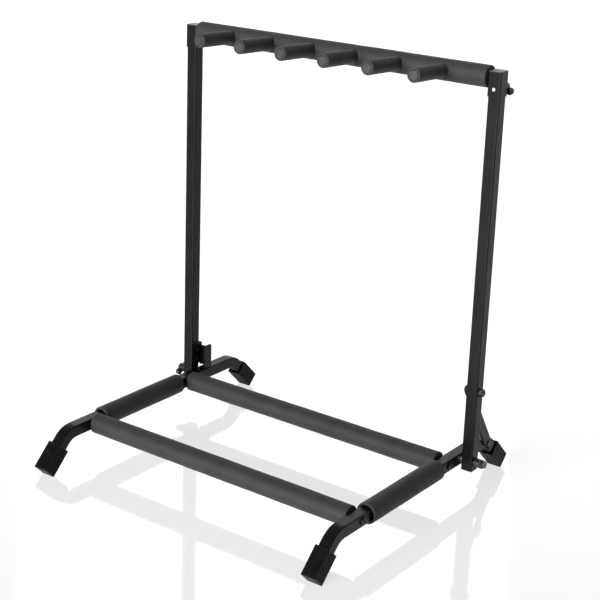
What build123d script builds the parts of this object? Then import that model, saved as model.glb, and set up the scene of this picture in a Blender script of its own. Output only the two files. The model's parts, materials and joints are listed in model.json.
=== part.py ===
from build123d import *
import os
from math import cos, radians, sin, sqrt

os.makedirs("parts", exist_ok=True)

# Frame: X to the right, Y to the back, Z up. The origin is on the floor, midway between the
# two side rails and midway between the front and rear feet. All sizes are in millimetres.

# ---------------------------------------------------------------- driving sizes
tube = 22.0            # square steel tube of rails and uprights, across the flats
tube_wall = 1.5
tube_corner = 2.2      # outer corner radius of the square tube
fit = 0.05             # gap per side where one piece sits in or beside another

rail_x = 299.5         # side rail axis
rail_z = 68.0          # rail axis height in the level middle
leg_angle = 45.0       # slope of the legs from level
bend_r = 40.0          # bend radius of the rail axis
foot_reach = 287.2     # Y of the lower inner edge of each foot

foot_width = 28.5
foot_depth = 30.5
foot_length = 54.0
foot_corner = 1.6
foot_round = 0.7       # softened rims of the feet
foot_floor = 6.0       # rubber under the tube's end
foot_flat = 1.5        # how far the lower edge is flattened by the floor
rib_pitch = 2.9
rib_gap = 1.3          # width of the groove between two ribs
rib_depth = 1.0
rib_margin = 3.0       # plain rubber at each end of the ribs

bar_front_y = -172.6
bar_rear_y = 100.1
bar_r = 10.0
bar_wall = 1.5
foam_r = 19.0
foam_round = 1.6       # rounding of the foam's cut ends
bar_foam_half = 286.5
rail_foam_front = -147.5
rail_foam_rear = 71.8
bar_plug_length = 14.0

bolt_r = 4.0           # M8
bolt_hole_r = 4.1
running_hole_r = 4.06  # bores that turn on an M8 shank
head_r = 6.8
head_height = 4.0
head_dome = 2.6        # rounding of the heads
socket_flats = 5.0     # hexagon socket, across the flats
socket_depth = 2.6
bolt_reach = 34.0
bolt_tail = 2.5        # thread showing past the nut

upright_x = 325.5
upright_y = 144.0
upright_bottom = 53.0
upright_top = 769.8
foot_plug_skin = 1.5   # visible skin of the plug in the upright's lower end
foot_plug_depth = 8.5
plug_wall = 3.0
plug_round = 0.8

bracket_sheet = 1.5
bracket_front = 3.3    # how far the bracket reaches in front of the upright's axis
bracket_back = 18.6    # and behind it
bracket_inner_x = 286.6
bracket_low = 84.0
bracket_high = 130.5
web_low = 79.8
web_high = 120.5
bracket_round = 8.0
rivet_r = 2.5
rivet_head_r = 4.0
rivet_head = 1.4
rivet_heights = (94.5, 113.5)
rivet_back = 6.2       # rivets behind the upright's axis

stay_bolt_z = 202.0
stay_pin_y = 233.0
stay_pin_z = 66.5
stay_width = 20.0
stay_thick = 3.0
stay_gap = 0.8         # washer between stay and upright
stay_tip = 13.0        # steel below the pin
stay_corner = 4.0      # rounding of the stay's lower corner
notch_gap = 0.1
nut_flats = 13.0
nut_height = 6.5
pin_head_r = 5.5
pin_head = 1.6
pin_round = 0.7

spacer_r = 8.0

wing_span = 38.0       # wing knob, tip to tip
wing_lobe_r = 6.5
wing_thick = 8.0
wing_waist = 4.2       # half width of the grip at the hub
wing_round = 1.8
hub_r = 8.0
hub_rise = 2.2         # hub above the grip
hub_length = 15.0
stud_grip = 11.0       # depth of the stud's bore in the knob
stud_chamfer = 0.6
knob_gap = 0.4         # knob's face off the tube
pivot_knob_turn = -25.0 # degrees
clamp_knob_turn = 30.0

top_bar_z = 759.2
top_foam_gap = 2.0     # top bar's foam to the sleeves
sleeve_size = 24.6
sleeve_bore = 22.2
sleeve_bottom = 728.2
sleeve_top = 770.0
cap_thick = 1.6
cap_round = 0.6
clamp_z = 741.0
front_hole_r = 3.2
button_rise = 0.9      # bright button in the right sleeve's front hole

peg_pitch = 91.0
peg_count = 6
peg_reach = 106.0      # end of the peg's foam in front of the top bar's axis
peg_rise = 2.5         # degrees that the pegs slope up
peg_r = 8.0
peg_wall = 1.2
peg_foam_r = 12.8
peg_foam_round = 1.2
peg_plug_depth = 10.0
peg_plug_wall = 2.4
peg_plug_head = 1.4
peg_plug_sunk = 1.0    # head's seat inside the foam's end
peg_plug_round = 0.5

overshoot = 1.0        # how far cutting shapes run past the faces

# ---------------------------------------------------------------- derived sizes
half_tube = tube / 2
bore = tube - 2 * tube_wall
rail_inner = rail_x - half_tube
rail_outer = rail_x + half_tube
upright_inner = upright_x - half_tube
upright_outer = upright_x + half_tube
slope = radians(leg_angle)
foot_end_y = foot_reach + foot_depth / 2 * sin(slope)
foot_end_z = foot_depth / 2 * cos(slope) - foot_flat
leg_run = (rail_z - foot_end_z) / sin(slope)
corner_y = foot_end_y - leg_run * cos(slope)
leg_end_y = foot_end_y - foot_floor * cos(slope)
leg_end_z = foot_end_z + foot_floor * sin(slope)
stay_x = upright_inner - stay_gap - stay_thick
stay_reach = sqrt((stay_pin_y - upright_y) ** 2 + (stay_bolt_z - stay_pin_z) ** 2)
stay_sin = (stay_pin_y - upright_y) / stay_reach
stay_cos = (stay_bolt_z - stay_pin_z) / stay_reach
sides = {"left": -1, "right": 1}
ends = {"front": -1, "rear": 1}
bars = {"front": bar_front_y, "rear": bar_rear_y}


def save(part, name):
    """Label one sub-part and write it as its own STEP file."""
    part.label = name
    export_step(part, f"parts/{name}.step")


def tube_section():
    """Cross-section of the square tube, drawn into the current sketch."""
    RectangleRounded(tube, tube, tube_corner)
    RectangleRounded(bore, bore, tube_corner - tube_wall, mode=Mode.SUBTRACT)


def cross_plane(x, side):
    """Plane across X at the given distance from the middle, facing outwards."""
    return Plane(origin=(side * x, 0, 0), x_dir=(0, side, 0), z_dir=(side, 0, 0))


def across(side, y, z):
    """A point of cross_plane's sketch, from real Y and Z."""
    return (side * y, z)


def wing_knob(plane, turn):
    """A plastic wing knob standing on the given plane, turned about its own axis."""
    outward = Axis(plane.origin, plane.z_dir)
    knob_plane = Plane(
        origin=plane.origin, x_dir=plane.x_dir.rotate(outward, turn), z_dir=plane.z_dir
    )
    lobe_x = wing_span / 2 - wing_lobe_r
    with BuildPart() as knob:
        # grip: two round lobes joined by a hollowed waist, with softened rims
        with BuildSketch(knob_plane.offset(hub_length - wing_thick)):
            with BuildLine():
                for end in (1, -1):
                    ThreePointArc(
                        (end * lobe_x, wing_lobe_r),
                        (end * wing_span / 2, 0),
                        (end * lobe_x, -wing_lobe_r),
                    )
                    ThreePointArc(
                        (-lobe_x, end * wing_lobe_r),
                        (0, end * wing_waist),
                        (lobe_x, end * wing_lobe_r),
                    )
            make_face()
        extrude(amount=wing_thick)
        fillet(knob.faces().sort_by(outward)[-1].edges(), wing_round)
        fillet(knob.faces().sort_by(outward)[0].edges(), wing_round)
        # hub: it stands on the tube and rises a little above the grip
        with BuildSketch(knob_plane):
            Circle(hub_r)
        extrude(amount=hub_length + hub_rise)
        fillet(knob.faces().sort_by(outward)[-1].edges(), wing_round)
        with BuildSketch(knob_plane):
            Circle(bolt_r + fit)
        extrude(amount=stud_grip, mode=Mode.SUBTRACT)
    return knob.part


def stud(plane, reach):
    """A knob's threaded stud: from inside the hub back through the plane by the given reach."""
    outward = Axis(plane.origin, plane.z_dir)
    with BuildPart() as rod:
        with BuildSketch(plane.offset(-reach)):
            Circle(bolt_r)
        extrude(amount=reach + stud_grip - fit)
        chamfer(rod.faces().sort_by(outward)[0].edges(), stud_chamfer)
        chamfer(rod.faces().sort_by(outward)[-1].edges(), stud_chamfer)
    return rod.part


# ---------------------------------------------------------------- side rails
for side_name, side in sides.items():
    with BuildPart() as rail:
        with BuildLine(Plane.YZ.offset(side * rail_x)) as path:
            FilletPolyline(
                (-leg_end_y, leg_end_z),
                (-corner_y, rail_z),
                (corner_y, rail_z),
                (leg_end_y, leg_end_z),
                radius=bend_r,
            )
        start = Plane(origin=path.line @ 0, x_dir=(1, 0, 0), z_dir=path.line % 0)
        with BuildSketch(start):
            tube_section()
        sweep()
        # bolt holes of the base bars, straight through both walls
        with BuildSketch(cross_plane(rail_inner - overshoot, side)):
            with Locations(across(side, bar_front_y, rail_z), across(side, bar_rear_y, rail_z)):
                Circle(bolt_hole_r)
        extrude(amount=tube + 2 * overshoot, mode=Mode.SUBTRACT)
        # the pivot, and the stay's pin on the right, go through the outer wall only
        with BuildSketch(cross_plane(rail_x, side)):
            with Locations(across(side, upright_y, rail_z)):
                Circle(bolt_hole_r)
            if side_name == "right":
                with Locations(across(side, stay_pin_y, stay_pin_z)):
                    Circle(bolt_hole_r)
        extrude(amount=tube, mode=Mode.SUBTRACT)
    save(rail.part, f"side_rail_{side_name}")

# ---------------------------------------------------------------- ribbed rubber feet
for end_name, end in ends.items():
    for side_name, side in sides.items():
        foot_plane = Plane(
            origin=(side * rail_x, end * foot_end_y, foot_end_z),
            x_dir=(1, 0, 0),
            z_dir=(0, -end * cos(slope), sin(slope)),
        )
        with BuildPart() as foot:
            with BuildSketch(foot_plane):
                RectangleRounded(foot_width, foot_depth, foot_corner)
            extrude(amount=foot_length)
            along = Axis(foot_plane.origin, foot_plane.z_dir)
            fillet(foot.faces().filter_by(along).edges(), foot_round)
            # socket for the leg
            with BuildSketch(foot_plane.offset(foot_floor)):
                RectangleRounded(tube + 2 * fit, tube + 2 * fit, tube_corner)
            extrude(amount=foot_length, mode=Mode.SUBTRACT)
            # lengthwise grooves that leave the ribs standing on all four sides
            rib_length = foot_length - 2 * rib_margin
            wide_count = int((foot_width - 3 * foot_corner) / rib_pitch) + 1
            deep_count = int((foot_depth - 3 * foot_corner) / rib_pitch) + 1
            with BuildSketch(foot_plane.offset(rib_margin)):
                with Locations((0, foot_depth / 2), (0, -foot_depth / 2)):
                    with GridLocations(rib_pitch, 1, wide_count, 1):
                        Rectangle(rib_gap, 2 * rib_depth)
                with Locations((foot_width / 2, 0), (-foot_width / 2, 0)):
                    with GridLocations(1, rib_pitch, 1, deep_count):
                        Rectangle(2 * rib_depth, rib_gap)
            extrude(amount=rib_length, mode=Mode.SUBTRACT)
            # the floor flattens the lower edge
            with Locations((side * rail_x, end * foot_end_y, -foot_length / 2)):
                Box(2 * foot_length, 2 * foot_length, foot_length, mode=Mode.SUBTRACT)
        save(foot.part, f"foot_{end_name}_{side_name}")

# ---------------------------------------------------------------- base bars and their foam
for bar_name, bar_y in bars.items():
    bar_axis = Plane(origin=(0, bar_y, rail_z), x_dir=(0, 1, 0), z_dir=(1, 0, 0))
    with BuildPart() as bar:
        with BuildSketch(bar_axis):
            Circle(bar_r)
            Circle(bar_r - bar_wall, mode=Mode.SUBTRACT)
        extrude(amount=rail_inner - fit, both=True)
    save(bar.part, f"base_bar_{bar_name}")

    with BuildPart() as bar_foam:
        with BuildSketch(bar_axis):
            Circle(foam_r)
            Circle(bar_r + fit, mode=Mode.SUBTRACT)
        extrude(amount=bar_foam_half, both=True)
        outer_rims = bar_foam.edges().filter_by(GeomType.CIRCLE).group_by(SortBy.RADIUS)[-1]
        fillet(outer_rims, foam_round)
    save(bar_foam.part, f"base_bar_foam_{bar_name}")

# threaded plugs in the four bar ends, one node of separate solids
with BuildPart() as bar_plugs:
    for bar_y in bars.values():
        for side in sides.values():
            with BuildSketch(cross_plane(rail_inner - fit - bar_plug_length, side)):
                with Locations(across(side, bar_y, rail_z)):
                    Circle(bar_r - bar_wall - fit)
                    Circle(bolt_hole_r, mode=Mode.SUBTRACT)
            extrude(amount=bar_plug_length)
save(bar_plugs.part, "base_bar_plugs")

# the four bolts through the rails, with low domed heads on the outer faces
with BuildPart() as bar_bolts:
    for bar_y in bars.values():
        for side in sides.values():
            with BuildSketch(cross_plane(rail_outer - bolt_reach, side)):
                with Locations(across(side, bar_y, rail_z)):
                    Circle(bolt_r)
            extrude(amount=bolt_reach)
            with BuildSketch(cross_plane(rail_outer, side)):
                with Locations(across(side, bar_y, rail_z)):
                    Circle(head_r)
            extrude(amount=head_height)
    head_rims = bar_bolts.edges().filter_by(GeomType.CIRCLE).filter_by(
        lambda rim: abs(abs(rim.center().X) - rail_outer - head_height) < fit
    )
    fillet(head_rims, head_dome)
    # hexagon sockets in the heads
    for bar_y in bars.values():
        for side in sides.values():
            with BuildSketch(cross_plane(rail_outer + head_height - socket_depth, side)):
                with Locations(across(side, bar_y, rail_z)):
                    RegularPolygon(socket_flats / 2, 6, major_radius=False)
            extrude(amount=head_height, mode=Mode.SUBTRACT)
save(bar_bolts.part, "base_bar_bolts")

# ---------------------------------------------------------------- foam on the rails
for side_name, side in sides.items():
    rail_section = Plane(
        origin=(side * rail_x, rail_foam_front, rail_z), x_dir=(1, 0, 0), z_dir=(0, 1, 0)
    )
    # the round bore touches only the square tube's rounded corners
    rail_foam_bore = (half_tube - tube_corner) * sqrt(2) + tube_corner + fit
    with BuildPart() as rail_foam:
        with BuildSketch(rail_section):
            Circle(foam_r)
            Circle(rail_foam_bore, mode=Mode.SUBTRACT)
        extrude(amount=rail_foam_rear - rail_foam_front)
        outer_rims = rail_foam.edges().filter_by(GeomType.CIRCLE).group_by(SortBy.RADIUS)[-1]
        fillet(outer_rims, foam_round)
    save(rail_foam.part, f"rail_foam_{side_name}")

# ---------------------------------------------------------------- pivot spacers and stay pin
for side_name, side in sides.items():
    with BuildPart() as spacer:
        with BuildSketch(cross_plane(rail_outer, side)):
            with Locations(across(side, upright_y, rail_z)):
                Circle(spacer_r)
                Circle(bolt_hole_r, mode=Mode.SUBTRACT)
        extrude(amount=upright_inner - rail_outer - fit)
    save(spacer.part, f"pivot_spacer_{side_name}")

with BuildPart() as stay_pin:
    with BuildSketch(Plane.YZ.offset(rail_outer - 2 * tube_wall)):
        with Locations((stay_pin_y, stay_pin_z)):
            Circle(bolt_r)
    extrude(amount=2 * tube_wall + stay_x + stay_thick + 2 * notch_gap - rail_outer)
    with BuildSketch(Plane.YZ.offset(stay_x + stay_thick + 2 * notch_gap)):
        with Locations((stay_pin_y, stay_pin_z)):
            Circle(pin_head_r)
    extrude(amount=pin_head)
    fillet(stay_pin.faces().sort_by(Axis.X)[-1].edges(), pin_round)
save(stay_pin.part, "stay_pin")

# ---------------------------------------------------------------- uprights
for side_name, side in sides.items():
    with BuildPart() as upright:
        with BuildSketch(Plane.XY.offset(upright_bottom)):
            with Locations((side * upright_x, upright_y)):
                tube_section()
        extrude(amount=upright_top - upright_bottom)
        with BuildSketch(cross_plane(upright_inner - overshoot, side)):
            with Locations(across(side, upright_y, rail_z)):
                Circle(running_hole_r)
            if side_name == "right":
                with Locations(across(side, upright_y, stay_bolt_z)):
                    Circle(bolt_hole_r)
        extrude(amount=tube + 2 * overshoot, mode=Mode.SUBTRACT)
        if side_name == "left":
            # rivet holes of the stop bracket, through the inner wall only
            with BuildSketch(cross_plane(upright_inner - overshoot, side)):
                for rivet_z in rivet_heights:
                    with Locations(across(side, upright_y + rivet_back, rivet_z)):
                        Circle(rivet_r + fit)
            extrude(amount=tube_wall + 2 * overshoot, mode=Mode.SUBTRACT)
    save(upright.part, f"upright_{side_name}")

    with BuildPart() as lower_plug:
        with BuildSketch(Plane.XY.offset(upright_bottom - foot_plug_skin)):
            with Locations((side * upright_x, upright_y)):
                RectangleRounded(tube, tube, tube_corner)
        extrude(amount=foot_plug_skin)
        with BuildSketch(Plane.XY.offset(upright_bottom)):
            with Locations((side * upright_x, upright_y)):
                RectangleRounded(bore - 2 * fit, bore - 2 * fit, tube_corner - tube_wall)
                Rectangle(bore - 2 * plug_wall, bore - 2 * plug_wall, mode=Mode.SUBTRACT)
        extrude(amount=foot_plug_depth)
        fillet(lower_plug.faces().sort_by(Axis.Z)[0].edges(), plug_round)
    save(lower_plug.part, f"upright_plug_{side_name}")

# ---------------------------------------------------------------- stop bracket, left upright
side = sides["left"]
bracket_width = upright_inner - bracket_inner_x
bracket_y = upright_y - bracket_front
bracket_depth = bracket_front + bracket_back
bracket_mid_x = side * (bracket_inner_x + bracket_width / 2)
with BuildPart() as stop_bracket:
    # U-shaped section, open to the front
    with BuildSketch(Plane.XY.offset(web_low)):
        with Locations((bracket_mid_x, bracket_y + bracket_depth / 2)):
            Rectangle(bracket_width, bracket_depth)
        with Locations((bracket_mid_x, bracket_y + bracket_depth / 2 - bracket_sheet)):
            Rectangle(bracket_width - 2 * bracket_sheet, bracket_depth, mode=Mode.SUBTRACT)
    extrude(amount=bracket_high - web_low)
    fillet(
        stop_bracket.edges().filter_by(Axis.Z).group_by(Axis.Y)[-1],
        2 * bracket_sheet,
    )
    fillet(
        stop_bracket.edges().filter_by(Axis.Z).group_by(Axis.Y)[-2],
        bracket_sheet,
    )
    # both flanges are cut short below, and their upper rear corners are rounded off
    with BuildSketch(Plane.YZ.offset(-upright_inner - overshoot)):
        with BuildLine():
            Polyline(
                (bracket_y - overshoot, web_low - overshoot),
                (upright_y + bracket_back - 3 * bracket_sheet, web_low - overshoot),
                (upright_y + bracket_back - 3 * bracket_sheet, bracket_low),
                (bracket_y - overshoot, bracket_low),
                close=True,
            )
        make_face()
        with Locations((upright_y + bracket_back - bracket_round, bracket_high - bracket_round)):
            Rectangle(
                2 * bracket_round,
                2 * bracket_round,
                align=(Align.MIN, Align.MIN),
            )
            Circle(bracket_round, mode=Mode.SUBTRACT)
    extrude(amount=bracket_width + 2 * overshoot, mode=Mode.SUBTRACT)
    # the web ends lower than the flanges
    with Locations((bracket_mid_x, upright_y + bracket_back, web_high)):
        Box(
            bracket_width - 2 * bracket_sheet,
            4 * bracket_sheet,
            bracket_high,
            align=(Align.CENTER, Align.CENTER, Align.MIN),
            mode=Mode.SUBTRACT,
        )
    # rivet holes in the flange on the upright
    with BuildSketch(cross_plane(upright_inner - bracket_sheet - overshoot, side)):
        for rivet_z in rivet_heights:
            with Locations(across(side, upright_y + rivet_back, rivet_z)):
                Circle(rivet_r + fit)
    extrude(amount=bracket_sheet + 2 * overshoot, mode=Mode.SUBTRACT)
save(stop_bracket.part, "stop_bracket")

with BuildPart() as bracket_rivets:
    for rivet_z in rivet_heights:
        with BuildSketch(cross_plane(upright_inner - bracket_sheet, side)):
            with Locations(across(side, upright_y + rivet_back, rivet_z)):
                Circle(rivet_r)
        extrude(amount=bracket_sheet + tube_wall)
        with BuildSketch(cross_plane(upright_inner - bracket_sheet - rivet_head, side)):
            with Locations(across(side, upright_y + rivet_back, rivet_z)):
                Circle(rivet_head_r)
        extrude(amount=rivet_head)
save(bracket_rivets.part, "bracket_rivets")

# ---------------------------------------------------------------- stay, right side
with BuildPart() as stay:
    with BuildSketch(Plane.YZ.offset(stay_x)) as outline:
        with Locations((upright_y, stay_bolt_z)):
            Circle(stay_width / 2)
        with BuildLine():
            # straight bar from the bolt to below the pin, along and across the stay's own axis
            lower = stay_reach + stay_tip
            half = stay_width / 2
            Polyline(
                (upright_y + half * stay_cos, stay_bolt_z + half * stay_sin),
                (
                    upright_y + lower * stay_sin + half * stay_cos,
                    stay_bolt_z - lower * stay_cos + half * stay_sin,
                ),
                (
                    upright_y + lower * stay_sin - half * stay_cos,
                    stay_bolt_z - lower * stay_cos - half * stay_sin,
                ),
                (upright_y - half * stay_cos, stay_bolt_z - half * stay_sin),
                close=True,
            )
        make_face()
        # open notch over the pin: its upper wall lies across the stay, its rear wall upright
        with BuildLine():
            wall = bolt_r + notch_gap
            corner = (
                stay_pin_y + wall,
                stay_pin_z + wall * (1 + stay_sin) / stay_cos,
            )
            Polyline(
                corner,
                (corner[0] - lower * stay_cos, corner[1] - lower * stay_sin),
                (corner[0] - lower, corner[1] - lower),
                (corner[0], corner[1] - lower),
                close=True,
            )
        make_face(mode=Mode.SUBTRACT)
        with Locations((upright_y, stay_bolt_z)):
            Circle(running_hole_r, mode=Mode.SUBTRACT)
        fillet(outline.vertices().sort_by(Axis.Y)[-1], stay_corner)
    extrude(amount=stay_thick)
save(stay.part, "stay")

stay_bolt_axis = Plane(origin=(0, upright_y, stay_bolt_z), x_dir=(0, 1, 0), z_dir=(1, 0, 0))
with BuildPart() as stay_bolt:
    bolt_end = upright_outer + nut_height + bolt_tail
    with BuildSketch(stay_bolt_axis.offset(stay_x - fit)):
        Circle(bolt_r)
    extrude(amount=bolt_end - stay_x + fit)
    with BuildSketch(stay_bolt_axis.offset(stay_x - fit - head_height)):
        Circle(head_r)
    extrude(amount=head_height)
    fillet(stay_bolt.faces().sort_by(Axis.X)[0].edges(), head_dome)
    chamfer(stay_bolt.faces().sort_by(Axis.X)[-1].edges(), stud_chamfer)
save(stay_bolt.part, "stay_bolt")

with BuildPart() as stay_washer:
    with BuildSketch(stay_bolt_axis.offset(stay_x + stay_thick + fit)):
        Circle(spacer_r)
        Circle(bolt_r + fit, mode=Mode.SUBTRACT)
    extrude(amount=stay_gap - fit)
save(stay_washer.part, "stay_washer")

with BuildPart() as stay_nut:
    with BuildSketch(stay_bolt_axis.offset(upright_outer)):
        RegularPolygon(nut_flats / 2, 6, major_radius=False)
        Circle(bolt_r + fit, mode=Mode.SUBTRACT)
    extrude(amount=nut_height)
save(stay_nut.part, "stay_nut")

# ---------------------------------------------------------------- top bar
sleeve_inner = upright_x - sleeve_size / 2
top_axis = Plane(origin=(0, upright_y, top_bar_z), x_dir=(0, 1, 0), z_dir=(1, 0, 0))
peg_xs = [peg_pitch * (index - (peg_count - 1) / 2) for index in range(peg_count)]

with BuildPart() as top_bar:
    with BuildSketch(top_axis):
        Circle(bar_r)
        Circle(bar_r - bar_wall, mode=Mode.SUBTRACT)
    extrude(amount=sleeve_inner - fit, both=True)
save(top_bar.part, "top_bar")

peg_planes = [
    Plane(
        origin=(peg_x, upright_y, top_bar_z),
        x_dir=(1, 0, 0),
        z_dir=(0, -cos(radians(peg_rise)), sin(radians(peg_rise))),
    )
    for peg_x in peg_xs
]
with BuildPart() as top_foam:
    with BuildSketch(top_axis):
        Circle(foam_r)
        Circle(bar_r + fit, mode=Mode.SUBTRACT)
    extrude(amount=sleeve_inner - top_foam_gap, both=True)
    outer_rims = top_foam.edges().filter_by(GeomType.CIRCLE).group_by(SortBy.RADIUS)[-1]
    fillet(outer_rims, foam_round)
    # holes that the pegs pass through
    with BuildSketch(*peg_planes):
        Circle(peg_r + fit)
    extrude(amount=2 * foam_r, mode=Mode.SUBTRACT)
save(top_foam.part, "top_bar_foam")

for side_name, side in sides.items():
    with BuildPart() as sleeve:
        with BuildSketch(Plane.XY.offset(sleeve_bottom)):
            with Locations((side * upright_x, upright_y)):
                RectangleRounded(sleeve_size, sleeve_size, tube_corner)
                RectangleRounded(sleeve_bore, sleeve_bore, tube_corner, mode=Mode.SUBTRACT)
        extrude(amount=sleeve_top - sleeve_bottom)
        # the clamp stud's hole at the back, and the right sleeve's front hole
        clamp_plane = Plane(
            origin=(side * upright_x, upright_y, clamp_z), x_dir=(1, 0, 0), z_dir=(0, -1, 0)
        )
        if side_name == "right":
            with BuildSketch(clamp_plane):
                Circle(front_hole_r)
            extrude(amount=sleeve_size, mode=Mode.SUBTRACT)
        with BuildSketch(clamp_plane):
            Circle(bolt_r + fit)
        extrude(amount=-sleeve_size, mode=Mode.SUBTRACT)
    save(sleeve.part, f"top_sleeve_{side_name}")

    with BuildPart() as cap:
        with BuildSketch(Plane.XY.offset(sleeve_top)):
            with Locations((side * upright_x, upright_y)):
                RectangleRounded(sleeve_size, sleeve_size, tube_corner)
        extrude(amount=cap_thick)
        fillet(cap.faces().sort_by(Axis.Z)[-1].edges(), cap_round)
    save(cap.part, f"top_cap_{side_name}")

# domed bright button in the right sleeve's front hole
with BuildPart() as sleeve_button:
    with BuildSketch(
        Plane(
            origin=(upright_x, upright_y - sleeve_bore / 2 - fit, clamp_z),
            x_dir=(1, 0, 0),
            z_dir=(0, -1, 0),
        )
    ):
        Circle(front_hole_r - fit)
    extrude(amount=(sleeve_size - sleeve_bore) / 2 + button_rise)
    fillet(sleeve_button.faces().sort_by(Axis.Y)[0].edges(), button_rise)
save(sleeve_button.part, "sleeve_button")

# ---------------------------------------------------------------- pegs
peg_length = peg_reach / cos(radians(peg_rise))
for number, peg_plane in enumerate(peg_planes, start=1):
    peg_axis = Axis(peg_plane.origin, peg_plane.z_dir)
    with BuildPart() as peg:
        with BuildSketch(peg_plane):
            Circle(peg_r)
            Circle(peg_r - peg_wall, mode=Mode.SUBTRACT)
        extrude(amount=peg_length - peg_plug_sunk)
        # coped onto the round top bar
        with BuildSketch(top_axis):
            Circle(bar_r + fit)
        extrude(amount=sleeve_inner, both=True, mode=Mode.SUBTRACT)
    save(peg.part, f"peg_{number}")

    with BuildPart() as peg_foam:
        with BuildSketch(peg_plane):
            Circle(peg_foam_r)
            Circle(peg_r + fit, mode=Mode.SUBTRACT)
        extrude(amount=peg_length)
        fillet(
            peg_foam.faces().sort_by(peg_axis)[-1].edges().sort_by(SortBy.RADIUS)[-1],
            peg_foam_round,
        )
        with BuildSketch(top_axis):
            Circle(foam_r + fit)
        extrude(amount=sleeve_inner, both=True, mode=Mode.SUBTRACT)
    save(peg_foam.part, f"peg_foam_{number}")

    with BuildPart() as peg_plug:
        with BuildSketch(peg_plane.offset(peg_length - peg_plug_sunk)):
            Circle(peg_r)
        extrude(amount=peg_plug_head)
        fillet(peg_plug.faces().sort_by(peg_axis)[-1].edges(), peg_plug_round)
        with BuildSketch(peg_plane.offset(peg_length - peg_plug_sunk)):
            Circle(peg_r - peg_wall - fit)
            Circle(peg_r - peg_wall - peg_plug_wall, mode=Mode.SUBTRACT)
        extrude(amount=-peg_plug_depth)
    save(peg_plug.part, f"peg_plug_{number}")

# ---------------------------------------------------------------- wing knobs and studs
for side_name, side in sides.items():
    pivot_plane = Plane(
        origin=(side * (upright_outer + knob_gap), upright_y, rail_z),
        x_dir=(0, side, 0),
        z_dir=(side, 0, 0),
    )
    save(wing_knob(pivot_plane, pivot_knob_turn), f"pivot_knob_{side_name}")
    save(stud(pivot_plane, upright_outer + knob_gap - rail_x), f"pivot_stud_{side_name}")

    clamp_back = Plane(
        origin=(side * upright_x, upright_y + sleeve_size / 2 + knob_gap, clamp_z),
        x_dir=(1, 0, 0),
        z_dir=(0, 1, 0),
    )
    save(wing_knob(clamp_back, clamp_knob_turn), f"clamp_knob_{side_name}")
    save(stud(clamp_back, knob_gap + (sleeve_size - tube) / 2 - fit), f"clamp_stud_{side_name}")
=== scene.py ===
import json
import math

import bpy
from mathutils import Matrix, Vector, noise


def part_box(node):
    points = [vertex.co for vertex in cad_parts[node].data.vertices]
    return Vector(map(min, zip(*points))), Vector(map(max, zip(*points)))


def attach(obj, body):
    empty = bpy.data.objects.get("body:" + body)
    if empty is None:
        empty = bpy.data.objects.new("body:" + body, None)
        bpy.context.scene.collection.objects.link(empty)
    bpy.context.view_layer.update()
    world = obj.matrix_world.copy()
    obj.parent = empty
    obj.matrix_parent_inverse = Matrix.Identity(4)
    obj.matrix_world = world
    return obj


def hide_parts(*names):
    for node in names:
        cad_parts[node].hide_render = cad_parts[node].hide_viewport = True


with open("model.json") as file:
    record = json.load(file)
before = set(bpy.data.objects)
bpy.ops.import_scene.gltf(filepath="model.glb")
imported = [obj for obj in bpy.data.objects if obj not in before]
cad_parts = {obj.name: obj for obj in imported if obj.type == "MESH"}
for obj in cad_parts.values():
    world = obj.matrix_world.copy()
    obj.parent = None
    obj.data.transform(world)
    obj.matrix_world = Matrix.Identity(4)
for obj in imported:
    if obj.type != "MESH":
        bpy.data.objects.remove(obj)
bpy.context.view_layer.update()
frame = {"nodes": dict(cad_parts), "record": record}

nodes = frame["nodes"]
MM = 0.001
SIDES = ("left", "right")
ENDS = ("front", "rear")
PEGS = range(1, 7)

# foam sleeves
RIM = 1.7 * MM             # rounding of the cut ends
BORE_GAP = 0.1 * MM        # between a round bar and its sleeve
RAIL_BORE_R = 14.75 * MM   # clears the corners of the square rail
SADDLE_SINK = 0.25 * MM    # how deep a peg's sleeve is let into the top sleeve
DISH = 0.45 * MM           # hollow of the cut end faces
CUT_PITCH = 520            # waves per metre of the end faces' roughness
CUT_ROUGHNESS = 0.16 * MM
SKIN_WAVES = ((14, 0.30 * MM), (55, 0.16 * MM), (210, 0.07 * MM))  # waves per metre, height

# studio
FLOOR_REACH = 30.0               # metres from the middle to each side
FLOOR_GLOW_SEEN = 0.715          # to the eye and in a gloss
FLOOR_GLOW_CAST = 0.38           # as light on the rack
AIM = (0, 0, 0.35)               # the lights point at the middle of the rack
KEY_FROM = (-0.12, -1.0, 0.28)   # where the sun stands, seen from the middle
BACK_LEFT = (-0.6, 0.8, 0.0)     # the side on which a gloss sees the white backdrop
FILL = 0.12                      # the backdrop's strength as a light, and overhead in a gloss


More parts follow.
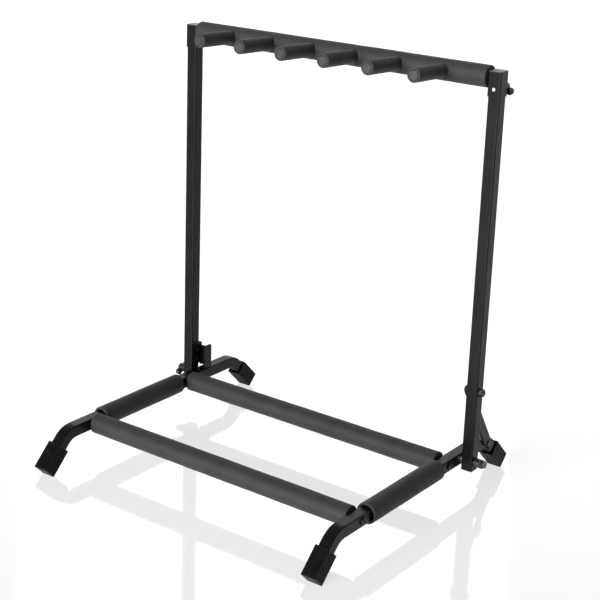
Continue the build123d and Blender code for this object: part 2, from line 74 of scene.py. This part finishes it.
# ---------------------------------------------------------------- material helpers
class Shader:
    """A node material in object coordinates, which are metres in the model's own frame."""

    def __init__(self, name, base, rough, metallic=0.0):
        self.mat = bpy.data.materials.new(name)
        self.mat.use_nodes = True
        self.tree = self.mat.node_tree
        self.bsdf = self.tree.nodes["Principled BSDF"]
        self.where = self.node("ShaderNodeTexCoord").outputs["Object"]
        self.bsdf.inputs["Metallic"].default_value = metallic
        self.bsdf.inputs["Base Color"].default_value = (*base, 1)
        self.bsdf.inputs["Roughness"].default_value = rough
        self.mat.diffuse_color = (*base, 1)
        self.normal = None

    def node(self, kind, **settings):
        made = self.tree.nodes.new(kind)
        for key, value in settings.items():
            setattr(made, key, value)
        return made

    def link(self, a, b):
        self.tree.links.new(a, b)

    def put(self, name, value):
        if hasattr(value, "is_output"):
            self.link(value, self.bsdf.inputs[name])
        else:
            self.bsdf.inputs[name].default_value = value

    def grain(self, size, detail=2.0, rough=0.5, stretch=(1, 1, 1)):
        """Noise whose features are about `size` metres across."""
        mapping = self.node("ShaderNodeMapping")
        mapping.inputs["Scale"].default_value = stretch
        tex = self.node("ShaderNodeTexNoise")
        tex.inputs["Scale"].default_value = 1.0 / size
        tex.inputs["Detail"].default_value = detail
        tex.inputs["Roughness"].default_value = rough
        self.link(self.where, mapping.inputs["Vector"])
        self.link(mapping.outputs["Vector"], tex.inputs["Vector"])
        return tex.outputs["Fac"]

    def cells(self, size):
        """Distance to the middle of cells about `size` metres across."""
        tex = self.node("ShaderNodeTexVoronoi")
        tex.inputs["Scale"].default_value = 1.0 / size
        self.link(self.where, tex.inputs["Vector"])
        return tex.outputs["Distance"]

    def span(self, value, low, high, to_low, to_high):
        """Remaps a value from low..high to to_low..to_high."""
        node = self.node("ShaderNodeMapRange")
        limits = {"From Min": low, "From Max": high, "To Min": to_low, "To Max": to_high}
        for key, number in limits.items():
            node.inputs[key].default_value = number
        self.link(value, node.inputs["Value"])
        return node.outputs["Result"]

    def mix(self, factor, a, b):
        node = self.node("ShaderNodeMix", data_type="RGBA")
        for key, value in (("A", a), ("B", b)):
            socket = [s for s in node.inputs if s.name == key and s.type == "RGBA"][0]
            if hasattr(value, "is_output"):
                self.link(value, socket)
            else:
                socket.default_value = (*value, 1)
        self.link(factor, node.inputs["Factor"])
        return [s for s in node.outputs if s.type == "RGBA"][0]

    def math(self, operation, a, b):
        node = self.node("ShaderNodeMath", operation=operation)
        for index, value in enumerate((a, b)):
            if hasattr(value, "is_output"):
                self.link(value, node.inputs[index])
            else:
                node.inputs[index].default_value = value
        return node.outputs[0]

    def soft_edges(self, radius):
        """Rounds hard edges in the shading, and returns how near a point is to an edge."""
        bevel = self.node("ShaderNodeBevel", samples=4)
        bevel.inputs["Radius"].default_value = radius
        self.normal = bevel.outputs["Normal"]
        flat = self.node("ShaderNodeNewGeometry").outputs["Normal"]
        dot = self.node("ShaderNodeVectorMath", operation="DOT_PRODUCT")
        self.link(self.normal, dot.inputs[0])
        self.link(flat, dot.inputs[1])
        return self.span(dot.outputs["Value"], 1.0, 0.9, 0.0, 1.0)

    def bump(self, height, depth, strength):
        node = self.node("ShaderNodeBump")
        node.inputs["Strength"].default_value = strength
        node.inputs["Distance"].default_value = depth
        self.link(height, node.inputs["Height"])
        if self.normal is not None:
            self.link(self.normal, node.inputs["Normal"])
        self.normal = node.outputs["Normal"]

    def done(self):
        if self.normal is not None:
            self.link(self.normal, self.bsdf.inputs["Normal"])
        return self.mat


def powder_coat():
    """Satin black powder coat: fine orange peel, faint dust, and edges rubbed a little brighter."""
    s = Shader("powder_coat", (0.010, 0.010, 0.012), 0.34)
    edge = s.soft_edges(0.5 * MM)
    cloud = s.grain(60 * MM, 3.0)
    fine = s.grain(1.6 * MM, 2.0)
    scuffs = s.grain(9 * MM, 5.0, 0.7, stretch=(1, 1, 0.25))
    worn = s.math("MULTIPLY", edge, s.span(scuffs, 0.45, 0.75, 0.15, 1.0))
    dust = s.span(cloud, 0.35, 0.7, 0.0, 0.35)
    tone = s.mix(dust, (0.003, 0.003, 0.0039), (0.006, 0.0058, 0.0061))
    s.put("Base Color", s.mix(worn, tone, (0.045, 0.044, 0.045)))
    uneven = s.math("ADD", s.math("MULTIPLY", cloud, 0.6), s.math("MULTIPLY", scuffs, 0.4))
    s.put("Roughness", s.span(uneven, 0.3, 0.7, 0.27, 0.41))
    s.put("Specular IOR Level", 0.16)
    s.bump(fine, 0.035 * MM, 0.55)
    s.bump(scuffs, 0.02 * MM, 0.3)
    return s.done()


def foam():
    """Closed-cell foam: a matte skin with fine pores, speckle and slow changes of tone."""
    s = Shader("foam", (0.05, 0.049, 0.048), 0.92)
    cloud = s.grain(45 * MM, 3.0, 0.6)
    speck = s.grain(0.9 * MM, 3.0, 0.7)
    pores = s.cells(0.8 * MM)
    large = s.grain(4 * MM, 4.0, 0.65)
    mottle = s.span(cloud, 0.3, 0.7, 0.0, 1.0)
    tone = s.mix(mottle, (0.016, 0.0153, 0.015), (0.028, 0.0267, 0.0262))
    tone = s.mix(s.span(speck, 0.5, 0.76, 0.0, 0.55), tone, (0.052, 0.0495, 0.048))
    # painted shade in the pores: the middle of each cell is drawn darker
    tone = s.mix(s.span(pores, 0.0, 0.22, 0.55, 0.0), tone, (0.007, 0.0068, 0.0066))
    s.put("Base Color", tone)
    s.put("Roughness", s.span(large, 0.3, 0.7, 0.56, 0.72))
    s.put("Specular IOR Level", 0.3)
    s.put("Sheen Weight", 0.04)
    s.put("Sheen Roughness", 0.6)
    s.bump(pores, 0.25 * MM, 0.5)
    s.bump(speck, 0.15 * MM, 0.55)
    s.bump(large, 0.35 * MM, 0.35)
    return s.done()


def rubber():
    """Ribbed rubber feet: dull black with a bloom of grey and dust in the grain, painted highlights
    along the rib edges and painted shade in the grooves.
    """
    s = Shader("rubber_feet", (0.02, 0.02, 0.02), 0.6)
    edge = s.soft_edges(0.25 * MM)
    bloom = s.grain(14 * MM, 4.0, 0.6)
    fine = s.grain(0.7 * MM, 2.0)
    dusty = s.span(bloom, 0.35, 0.7, 0.0, 1.0)
    tone = s.mix(dusty, (0.003, 0.003, 0.0033), (0.0065, 0.0062, 0.006))
    # painted highlight: the rib edges are drawn lighter, standing in for the gloss that catches
    # them
    tone = s.mix(s.math("MULTIPLY", edge, 0.5), tone, (0.04, 0.039, 0.038))
    # painted shade in the grooves: where ambient occlusion finds a groove, the colour goes nearly
    # black and the gloss is turned down
    hollow = s.node("ShaderNodeAmbientOcclusion", samples=8)
    hollow.inputs["Distance"].default_value = 2.5 * MM
    open_air = s.span(hollow.outputs["AO"], 0.45, 0.85, 0.0, 1.0)
    s.put("Base Color", s.mix(open_air, (0.0005, 0.0005, 0.0005), tone))
    s.put("Specular IOR Level", s.math("MULTIPLY", open_air, 0.14))
    s.put("Roughness", s.span(bloom, 0.3, 0.7, 0.36, 0.52))
    s.bump(fine, 0.05 * MM, 0.5)
    return s.done()


def moulded(name, dark, light, rough):
    """Moulded plastic with a fine spark-eroded grain and a painted highlight along the rim."""
    s = Shader(name, dark, rough)
    edge = s.soft_edges(0.35 * MM)
    grain = s.grain(0.45 * MM, 2.0)
    flow = s.grain(12 * MM, 3.0, 0.55, stretch=(1, 1, 0.5))
    tone = s.mix(s.span(flow, 0.3, 0.7, 0.0, 1.0), dark, light)
    # painted highlight: the colour is lightened along the edges, standing in for the gloss of the
    # rim
    s.put("Base Color", s.mix(s.math("MULTIPLY", edge, 0.35), tone, tuple(3 * c for c in light)))
    s.put("Roughness", s.span(flow, 0.3, 0.7, rough - 0.06, rough + 0.08))
    s.bump(grain, 0.03 * MM, 0.5)
    return s.done()


def zinc():
    """Zinc plating: bright, slightly cloudy, with fine turning marks."""
    s = Shader("bright_steel", (0.70, 0.70, 0.72), 0.28, metallic=1.0)
    cloud = s.grain(5 * MM, 4.0, 0.6)
    marks = s.grain(0.5 * MM, 2.0, stretch=(1, 4, 4))
    bloom = s.span(cloud, 0.3, 0.7, 0.0, 1.0)
    s.put("Base Color", s.mix(bloom, (0.58, 0.58, 0.60), (0.78, 0.78, 0.80)))
    s.put("Roughness", s.span(cloud, 0.3, 0.7, 0.2, 0.38))
    s.bump(marks, 0.01 * MM, 0.5)
    return s.done()


def blackened():
    """Blackened steel of bolts, nuts and pins, with rubbed edges."""
    s = Shader("black_hardware", (0.03, 0.03, 0.033), 0.36, metallic=0.75)
    edge = s.soft_edges(0.3 * MM)
    cloud = s.grain(3 * MM, 4.0, 0.6)
    tone = s.mix(s.span(cloud, 0.3, 0.7, 0.0, 1.0), (0.022, 0.022, 0.025), (0.05, 0.049, 0.05))
    s.put("Base Color", s.mix(s.math("MULTIPLY", edge, 0.8), tone, (0.24, 0.235, 0.23)))
    s.put("Roughness", s.span(cloud, 0.3, 0.7, 0.28, 0.45))
    s.bump(cloud, 0.03 * MM, 0.4)
    return s.done()


def studio_floor():
    """Pale glossy table, lit a little from within, with a trace of unevenness."""
    s = Shader("studio_floor", (0.2, 0.2, 0.2), 0.03)
    cloud = s.grain(0.6, 3.0)
    patch = s.span(cloud, 0.3, 0.7, 0.0, 1.0)
    s.put("Base Color", s.mix(patch, (0.195, 0.195, 0.195), (0.205, 0.205, 0.205)))
    s.put("Roughness", s.span(cloud, 0.3, 0.7, 0.05, 0.09))
    s.put("IOR", 1.95)
    s.put("Emission Color", (1.0, 1.0, 0.995, 1.0))
    bounced = s.node("ShaderNodeLightPath").outputs["Is Diffuse Ray"]
    s.put("Emission Strength", s.span(bounced, 0.0, 1.0, FLOOR_GLOW_SEEN, FLOOR_GLOW_CAST))
    return s.done()


finishes = {
    "powder_coat": powder_coat(),
    "foam": foam(),
    "rubber_feet": rubber(),
    "knob_plastic": moulded("knob_plastic", (0.007, 0.007, 0.0085), (0.012, 0.012, 0.0135), 0.33),
    "plug_plastic": moulded("plug_plastic", (0.017, 0.017, 0.018), (0.028, 0.028, 0.029), 0.4),
    "bright_steel": zinc(),
    "black_hardware": blackened(),
}
slot_of = {p["node"]: p["material_slot"] for p in frame["record"]["subparts"]}
for name, obj in nodes.items():
    finish = finishes[slot_of[name]]
    if not obj.material_slots:
        obj.data.materials.append(finish)
    for held in obj.material_slots:
        held.material = finish


# ---------------------------------------------------------------- mesh helpers
def add_piece(name, verts, faces, slot, body, stands_for):
    """Makes a smooth mesh piece that rides on a body, in a slot's finish, in place of CAD nodes."""
    mesh = bpy.data.meshes.new(name)
    mesh.from_pydata(verts, [], faces)
    mesh.validate()
    mesh.shade_smooth()
    obj = bpy.data.objects.new(name, mesh)
    bpy.context.scene.collection.objects.link(obj)
    mesh.materials.append(finishes[slot])
    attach(obj, body)
    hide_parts(*stands_for)
    return obj


def rings_to_mesh(rings):
    """Joins rings of equal point counts with quads, the last to the first: a tube with a bore."""
    count = len(rings[0])
    verts = [p for ring in rings for p in ring]
    faces = []
    for i in range(len(rings)):
        a, b = i * count, (i + 1) % len(rings) * count
        for j in range(count):
            k = (j + 1) % count
            faces.append((a + j, a + k, b + k, b + j))
    return verts, faces


def frame_of(axis):
    """Two unit vectors square to an axis, the first as level as it can be."""
    axis = axis.normalized()
    helper = Vector((0, 0, 1)) if abs(axis.z) < 0.9 else Vector((1, 0, 0))
    level = axis.cross(helper).normalized()
    return axis, level, level.cross(axis).normalized()


def skin(point, seed):
    """How far the foam's skin stands off its true round, in metres: slow waves and small dents."""
    p = point + Vector((seed * 3.7, seed * 1.3, seed * 2.1))
    return sum(noise.noise(p * pitch) * height for pitch, height in SKIN_WAVES)


def foam_tube(name, start, end, outer, inner, body, stands_for, seed,
              around=96, step=4 * MM, root=None):
    """A foam sleeve with softly rounded cut ends and an uneven skin.

    root gives, for a direction square to the axis and a radius, how far along the axis the sleeve
    starts: it lets a peg's sleeve end on the round of another sleeve.
    """
    start, end = Vector(start), Vector(end)
    length = (end - start).length
    axis, level, up = frame_of(end - start)
    spokes = [
        level * math.cos(2 * math.pi * k / around) + up * math.sin(2 * math.pi * k / around)
        for k in range(around)
    ]
    steps = max(12, int(length / step))
    # from the bore round the start's cut face and rim, along the outside, and back at the end:
    # share of the length, distance added to it (none along the outside), radius
    profile = [(0.0, 0.6 * MM, inner), (0.0, 0.25 * MM, inner + 0.4 * MM)]
    face_steps = 6
    for k in range(1, face_steps):
        profile.append((0.0, 0.0, inner + (outer - RIM - inner) * k / face_steps))
    turn_steps = 5
    turns = [math.radians(90 * k / turn_steps) for k in range(turn_steps + 1)]
    profile += [(0.0, RIM * (1 - math.cos(t)), outer - RIM * (1 - math.sin(t))) for t in turns]
    profile += [(k / steps, None, outer) for k in range(1, steps)]
    profile += [(1.0, -d, r) for share, d, r in reversed(profile) if share == 0.0]
    rings = []
    for share, extra, radius in profile:
        ring = []
        for spoke in spokes:
            begin = root(spoke, radius) if root else 0.0
            if extra is None:
                along = begin + RIM + (length - begin - 2 * RIM) * share
            else:
                along = (begin if share == 0.0 else length) + extra
            point = start + axis * along + spoke * radius
            if extra is not None and radius < outer - 0.5 * RIM:
                # the knife leaves the cut face a little rough and dished
                middle = (radius - inner) / (outer - inner)
                dish = DISH * math.sin(math.pi * min(1.0, middle))
                rough = noise.noise(point * CUT_PITCH + Vector((seed, 0, 0))) * CUT_ROUGHNESS
                sign = 1 if share == 0.0 else -1
                point += axis * sign * (dish + rough)
            else:
                point += spoke * skin(point, seed)
            ring.append(point)
        rings.append(ring)
    verts, faces = rings_to_mesh(rings)
    piece = add_piece(name, verts, faces, "foam", body, stands_for)
    return piece


# ---------------------------------------------------------------- foam sleeves
for index, end in enumerate(ENDS):
    low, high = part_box(f"base_bar_foam_{end}")
    mid = (low + high) / 2
    bar_low, bar_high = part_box(f"base_bar_{end}")
    foam_tube(
        f"bar_sleeve_{end}",
        (low.x, mid.y, mid.z),
        (high.x, mid.y, mid.z),
        (high.z - low.z) / 2,
        (bar_high.z - bar_low.z) / 2 + BORE_GAP,
        "base",
        [f"base_bar_foam_{end}"],
        seed=1.0 + index,
    )

for index, side in enumerate(SIDES):
    low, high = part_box(f"rail_foam_{side}")
    mid = (low + high) / 2
    foam_tube(
        f"rail_sleeve_{side}",
        (mid.x, low.y, mid.z),
        (mid.x, high.y, mid.z),
        (high.z - low.z) / 2,
        RAIL_BORE_R,
        "base",
        [f"rail_foam_{side}"],
        seed=4.0 + index,
    )

low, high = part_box("top_bar_foam")
top_mid = (low + high) / 2
top_radius = (high.z - low.z) / 2
bar_low, bar_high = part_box("top_bar")
foam_tube(
    "top_sleeve_foam",
    (low.x, top_mid.y, top_mid.z),
    (high.x, top_mid.y, top_mid.z),
    top_radius,
    (bar_high.z - bar_low.z) / 2 + BORE_GAP,
    "top_bar",
    ["top_bar_foam"],
    seed=7.0,
)


def saddle(spoke, radius):
    """Distance from the top bar's axis at which a peg's sleeve meets the top sleeve."""
    offset = radius * math.hypot(spoke.y, spoke.z)
    return math.sqrt(max((top_radius - SADDLE_SINK) ** 2 - offset ** 2, 0.0))


for number in PEGS:
    low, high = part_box(f"peg_foam_{number}")
    plug_low, plug_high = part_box(f"peg_plug_{number}")
    peg_low, peg_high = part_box(f"peg_{number}")
    start = Vector(((low.x + high.x) / 2, top_mid.y, top_mid.z))
    radius = (high.x - low.x) / 2
    # the peg's slope, from the plug's middle height
    tip = (plug_low + plug_high) / 2
    direction = Vector((0, tip.y - start.y, tip.z - start.z)).normalized()
    reach = (start.y - low.y - radius * direction.z) / -direction.y
    foam_tube(
        f"peg_sleeve_{number}",
        start,
        start + direction * reach,
        radius,
        (peg_high.x - peg_low.x) / 2 + BORE_GAP,
        "top_bar",
        [f"peg_foam_{number}"],
        seed=10.0 + number,
        around=72,
        step=3 * MM,
        root=saddle,
    )

# ---------------------------------------------------------------- floor, light and camera
floor_mesh = bpy.data.meshes.new("floor")
corners = [(x * FLOOR_REACH, y * FLOOR_REACH, 0) for x, y in ((-1, -1), (1, -1), (1, 1), (-1, 1))]
floor_mesh.from_pydata(corners, [], [(0, 1, 2, 3)])
floor = bpy.data.objects.new("floor", floor_mesh)
floor_mesh.materials.append(studio_floor())
bpy.context.scene.collection.objects.link(floor)


def softbox(name, at, size, power):
    """A rectangular light of some metres by some metres, in watts, turned to the rack."""
    light = bpy.data.lights.new(name, "AREA")
    light.shape = "RECTANGLE"
    light.size, light.size_y = size
    light.energy = power
    obj = bpy.data.objects.new(name, light)
    obj.location = at
    obj.rotation_euler = (Vector(AIM) - Vector(at)).to_track_quat("-Z", "Y").to_euler()
    bpy.context.scene.collection.objects.link(obj)


softbox("light_top", (-0.2, 0.5, 3.4), (3.4, 2.4), 10)
softbox("light_back", (-1.9, 2.5, 1.5), (2.0, 1.4), 7)

key = bpy.data.lights.new("light_key", "SUN")
key.energy = 5.0
key.angle = math.radians(30)
key_obj = bpy.data.objects.new("light_key", key)
key_obj.rotation_euler = (-Vector(KEY_FROM)).to_track_quat("-Z", "Y").to_euler()
bpy.context.scene.collection.objects.link(key_obj)

# The backdrop is white to the camera. In a gloss it is white low down behind the rack and dark
# overhead and in front, and as a light it is only a dim fill.
world = bpy.data.worlds.new("studio")
bpy.context.scene.world = world
world.use_nodes = True
tree = world.node_tree


def world_node(kind, inputs=(), **settings):
    """A node of the backdrop; inputs are pairs of socket and number or output."""
    made = tree.nodes.new(kind)
    for key, value in settings.items():
        setattr(made, key, value)
    for socket, value in inputs:
        if hasattr(value, "is_output"):
            tree.links.new(value, made.inputs[socket])
        else:
            made.inputs[socket].default_value = value
    return made


def faded(value, low, high, to_low, to_high):
    """Remaps a value from low..high to to_low..to_high."""
    limits = [("From Min", low), ("From Max", high), ("To Min", to_low), ("To Max", to_high)]
    return world_node("ShaderNodeMapRange", [("Value", value)] + limits).outputs["Result"]


def backdrop(strength, colour=(1, 1, 1, 1)):
    inputs = [("Color", colour), ("Strength", strength)]
    return world_node("ShaderNodeBackground", inputs).outputs[0]


def choose(switch, off, on):
    """One backdrop where the switch is 0, the other where it is 1."""
    return world_node("ShaderNodeMixShader", [(0, switch), (1, off), (2, on)]).outputs[0]


towards = world_node("ShaderNodeTexCoord").outputs["Generated"]
height = world_node("ShaderNodeSeparateXYZ", [(0, towards)]).outputs["Z"]
sides = [(0, towards), (1, BACK_LEFT)]
behind = world_node("ShaderNodeVectorMath", sides, operation="DOT_PRODUCT").outputs["Value"]
low_down = faded(height, 0.45, 0.72, 1.0, FILL)
at_back = faded(behind, -0.2, 0.45, 0.3, 1.0)
gloss = world_node("ShaderNodeMath", [(0, low_down), (1, at_back)], operation="MULTIPLY").outputs[0]
ray = world_node("ShaderNodeLightPath").outputs
as_light = backdrop(FILL, (0.93, 0.96, 1.0, 1))
unseen = choose(ray["Is Glossy Ray"], as_light, backdrop(gloss))
shown = choose(ray["Is Camera Ray"], unseen, backdrop(1.0))
tree.links.new(shown, tree.nodes["World Output"].inputs["Surface"])

camera = bpy.data.cameras.new("camera")
camera.lens = 91.0
camera.sensor_width = 36.0
camera.shift_x = 0.068
camera.shift_y = -0.063
camera.clip_start = 0.05
camera.clip_end = 100.0
view = bpy.data.objects.new("camera", camera)
view.location = (1.5193, -2.0543, 1.2262)
view.rotation_euler = tuple(math.radians(a) for a in (72.121, -1.484, 37.837))
bpy.context.scene.collection.objects.link(view)
bpy.context.scene.camera = view
bpy.context.scene.view_settings.view_transform = "Standard"
